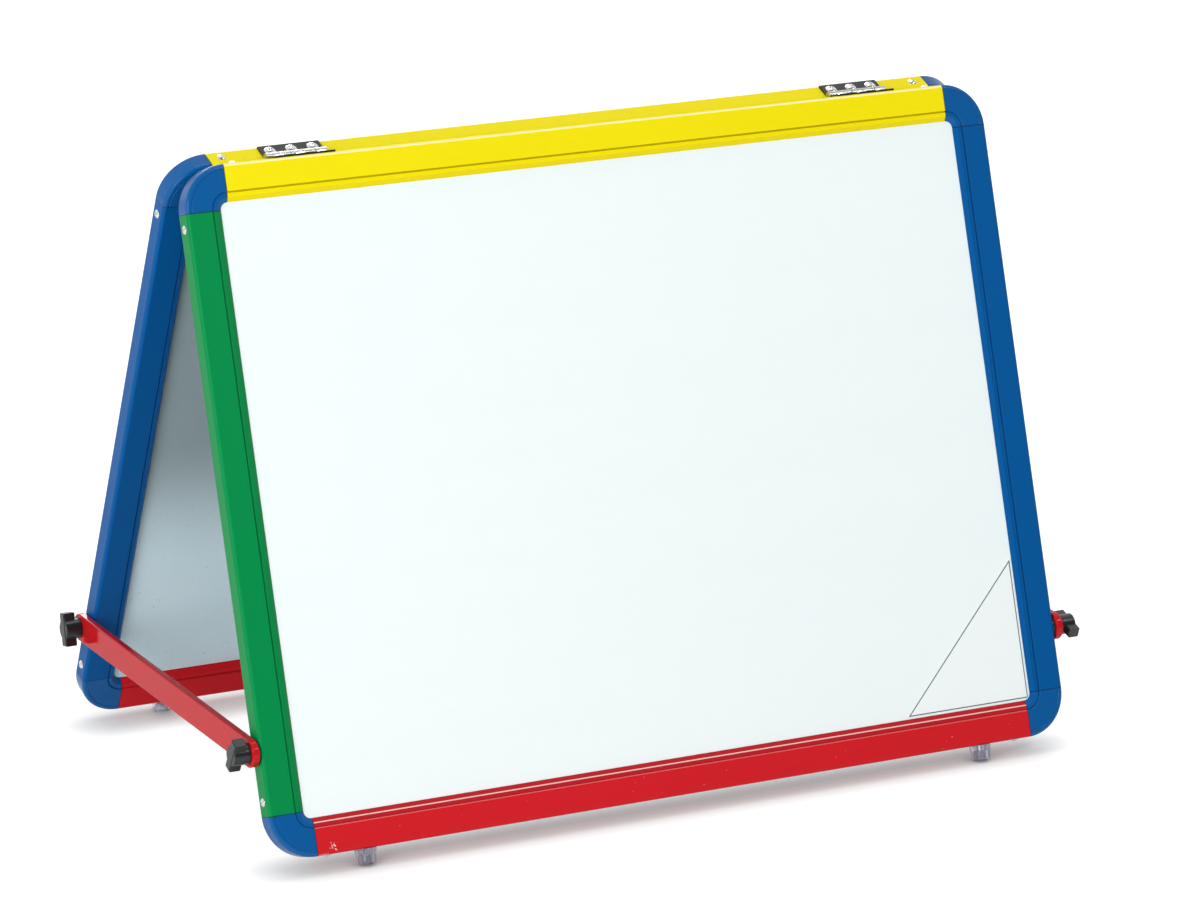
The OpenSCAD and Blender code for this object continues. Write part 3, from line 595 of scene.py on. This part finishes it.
def screws(name, sizes, seats):
    """Plain mesh of one kind of screw on its seats, each a place, a direction and a turn."""
    pattern = bpy.data.objects.new(name + "_pattern", screw_mesh(*sizes))
    bpy.context.collection.objects.link(pattern)
    points = bpy.data.meshes.new(name + "_points")
    points.from_pydata([tuple(seat[0]) for seat in seats], [], [])
    points.attributes.new("out", "FLOAT_VECTOR", "POINT")
    points.attributes.new("twist", "FLOAT", "POINT")
    for i, (_, way, turn) in enumerate(seats):
        points.attributes["out"].data[i].vector = way
        points.attributes["twist"].data[i].value = turn
    carrier = bpy.data.objects.new(name + "_carrier", points)
    bpy.context.collection.objects.link(carrier)
    modifier = carrier.modifiers.new("screws", "NODES")
    modifier.node_group = SCREWS_ON_POINTS
    socket = {item.name: item.identifier for item in SCREWS_ON_POINTS.interface.items_tree}
    modifier[socket["Screw"]] = pattern
    modifier[socket["Size"]] = 1.0
    modifier[socket["Finish"]] = screw_zinc
    made = bpy.data.meshes.new_from_object(carrier.evaluated_get(bpy.context.evaluated_depsgraph_get()))
    made.name = name
    bpy.data.objects.remove(carrier)
    bpy.data.objects.remove(pattern)
    piece = bpy.data.objects.new(name, made)
    bpy.context.collection.objects.link(piece)
    return piece


half_w = BOARD_W / 2
middle = FRAME_D / 2
near = CORNER_R + END_SCREW_IN
for end, board in ((-1, "front"), (1, "rear")):
    body = board + "_panel"
    # Each screw stops at a turn of its own, so the recesses don't line up.
    turn = 0.3

    corner_seats = []
    for up in (near, BOARD_H - near):
        for side in (-1, 1):
            turn += 1.1
            seat = on_board(end, side * half_w, middle, up)
            corner_seats.append((seat, board_way(end, side, 0, 0), turn))
    for up, way in ((0, -1), (BOARD_H, 1)):
        for side in (-1, 1):
            turn += 1.1
            seat = on_board(end, side * (half_w - near), middle, up)
            corner_seats.append((seat, board_way(end, 0, 0, way), turn))
    piece = screws(board + "_corner_screw_set", CORNER_SCREW, corner_seats)
    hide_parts(board + "_corner_screws")
    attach(piece, body)

    hinge_seats = []
    for side in (-1, 1):
        for i in (-1, 0, 1):
            turn += 0.7
            x = side * (half_w - HINGE_IN) + i * LEAF_SCREW_STEP
            seat = on_board(end, x, LEAF_SCREW_IN, BOARD_H + LEAF_T)
            hinge_seats.append((seat, board_way(end, 0, 0, 1), turn))
    piece = screws(board + "_hinge_screw_set", HINGE_SCREW[board], hinge_seats)
    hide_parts(board + "_hinge_screws")
    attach(piece, body)

    foot_seats = []
    for side in (-1, 1):
        turn += 0.9
        seat = on_board(end, side * (half_w - FOOT_IN), middle, -FOOT_SEAT)
        foot_seats.append((seat, board_way(end, 0, 0, -1), turn))
    piece = screws(board + "_foot_screw_set", FOOT_SCREW, foot_seats)
    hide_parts(board + "_foot_screws")
    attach(piece, body)

# Studio -----------------------------------------------------------------------------------------

floor_mesh = bpy.data.meshes.new("studio_floor")
floor_mesh.from_pydata([(-9, -9, 0), (9, -9, 0), (9, 9, 0), (-9, 9, 0)], [], [(0, 1, 2, 3)])
floor = bpy.data.objects.new("studio_floor", floor_mesh)
bpy.context.collection.objects.link(floor)


def white_sweep():
    """White studio floor: seen directly, in gloss or through the clear feet it is lifted to white.

    The lift fades close to the object, so that the contact shadows stay.
    """
    material, tree, _ = new_finish("white_studio_floor")
    rays = add(tree, "ShaderNodeLightPath").outputs
    seen = add(tree, "ShaderNodeMath", {
        0: rays["Is Camera Ray"], 1: rays["Is Glossy Ray"],
    }, operation="MAXIMUM").outputs[0]
    seen = add(tree, "ShaderNodeMath", {
        0: seen, 1: rays["Is Transmission Ray"],
    }, operation="MAXIMUM").outputs[0]
    # The floor is in the open where nothing stands within 30 mm of it.
    open_air = add(tree, "ShaderNodeAmbientOcclusion", {"Distance": 30 * MM}, samples=8).outputs["AO"]
    open_air = add(tree, "ShaderNodeMath", {0: open_air, 1: 1.8}, operation="POWER").outputs[0]
    lift = add(tree, "ShaderNodeMath", {0: seen, 1: open_air}, operation="MULTIPLY").outputs[0]
    amount = add(tree, "ShaderNodeMapRange", {
        "Value": rays["Is Camera Ray"], "To Min": 0.2, "To Max": 0.8,
    }).outputs[0]
    lift = add(tree, "ShaderNodeMath", {0: lift, 1: amount}, operation="MULTIPLY").outputs[0]
    tone = add(tree, "ShaderNodeMix", {
        0: rays["Is Camera Ray"], 6: linear("F3F3F3"), 7: linear("B4B4B4"),
    }, data_type="RGBA").outputs[2]
    matt = add(tree, "ShaderNodeBsdfDiffuse", {"Color": tone}).outputs[0]
    glow = add(tree, "ShaderNodeEmission", {"Color": (1, 1, 1, 1), "Strength": lift}).outputs[0]
    both = add(tree, "ShaderNodeAddShader", {0: matt, 1: glow}).outputs[0]
    add(tree, "ShaderNodeOutputMaterial", {"Surface": both})
    return material


floor_mesh.materials.append(white_sweep())

world = bpy.data.worlds.new("pale_room")
bpy.context.scene.world = world
world.use_nodes = True
room = world.node_tree
room.nodes.clear()
rays = add(room, "ShaderNodeLightPath").outputs
# The room is white behind the easel and dimmer in front of it, where the camera stands.
way = add(room, "ShaderNodeTexCoord").outputs["Generated"]
depth = add(room, "ShaderNodeSeparateXYZ", {0: way}).outputs["Y"]
mirrored = add(room, "ShaderNodeMapRange", {
    "Value": depth, "From Min": -0.6, "From Max": 0.3, "To Min": 0.15, "To Max": 1.0,
}).outputs[0]
ambient = add(room, "ShaderNodeMix", {
    0: rays["Is Glossy Ray"], 2: 0.42, 3: mirrored,
}, data_type="FLOAT").outputs[0]
direct = add(room, "ShaderNodeMath", {
    0: rays["Is Camera Ray"], 1: rays["Is Transmission Ray"],
}, operation="MAXIMUM").outputs[0]
level = add(room, "ShaderNodeMath", {0: ambient, 1: direct}, operation="MAXIMUM").outputs[0]
sky = add(room, "ShaderNodeBackground", {"Color": (1, 1, 1, 1), "Strength": level})
add(room, "ShaderNodeOutputWorld", {"Surface": sky.outputs[0]})


def softbox(name, place, target, size, power, mirrored=True):
    """Lamp aimed at a target, in metres and watts; gloss shows it only if it is mirrored."""
    light = bpy.data.lights.new(name, "AREA")
    light.shape = "RECTANGLE"
    light.size, light.size_y = size
    light.energy = power
    lamp = bpy.data.objects.new(name, light)
    lamp.location = place
    lamp.visible_glossy = mirrored
    lamp.rotation_euler = (Vector(target) - Vector(place)).to_track_quat("-Z", "Y").to_euler()
    bpy.context.collection.objects.link(lamp)


softbox("left_softbox", (-2.0, -1.2, 1.2), (0, 0, 0.2), (0.8, 1.2), 15)
# The low lamp lights the inner side of the rear board. Mirrored, it would wash out the front sheet.
softbox("low_left_softbox", (-2.9, -1.8, 0.8), (-0.2, 0.05, 0.15), (1.6, 1.6), 44, mirrored=False)
softbox("right_softbox", (0.95, -1.25, 1.6), (0, -0.1, 0.1), (1.2, 0.2), 8)
softbox("top_softbox", (0.1, 0.3, 2.4), (0, 0, 0.2), (1.2, 0.7), 9)
softbox("back_softbox", (0.6, 2.6, 1.3), (0, 0, 0.2), (1.4, 1.0), 26)

# Camera -----------------------------------------------------------------------------------------

# Place and directions found by fitting the boards' edges in the photograph.
lens = bpy.data.cameras.new("photo_camera")
lens.sensor_width = 36.0
lens.lens = 182.234
lens.clip_end = 50.0
camera = bpy.data.objects.new("photo_camera", lens)
right = Vector((0.881597, -0.47141, 0.02364)).normalized()
back = -Vector((0.456131, 0.838006, -0.299483)).normalized()
up = back.cross(right).normalized()
right = up.cross(back)
camera.matrix_world = Matrix((
    (right.x, up.x, back.x, -1.86083),
    (right.y, up.y, back.y, -3.4542),
    (right.z, up.z, back.z, 1.4362),
    (0, 0, 0, 1),
))
bpy.context.collection.objects.link(camera)
bpy.context.scene.camera = camera
bpy.context.scene.view_settings.view_transform = "Standard"
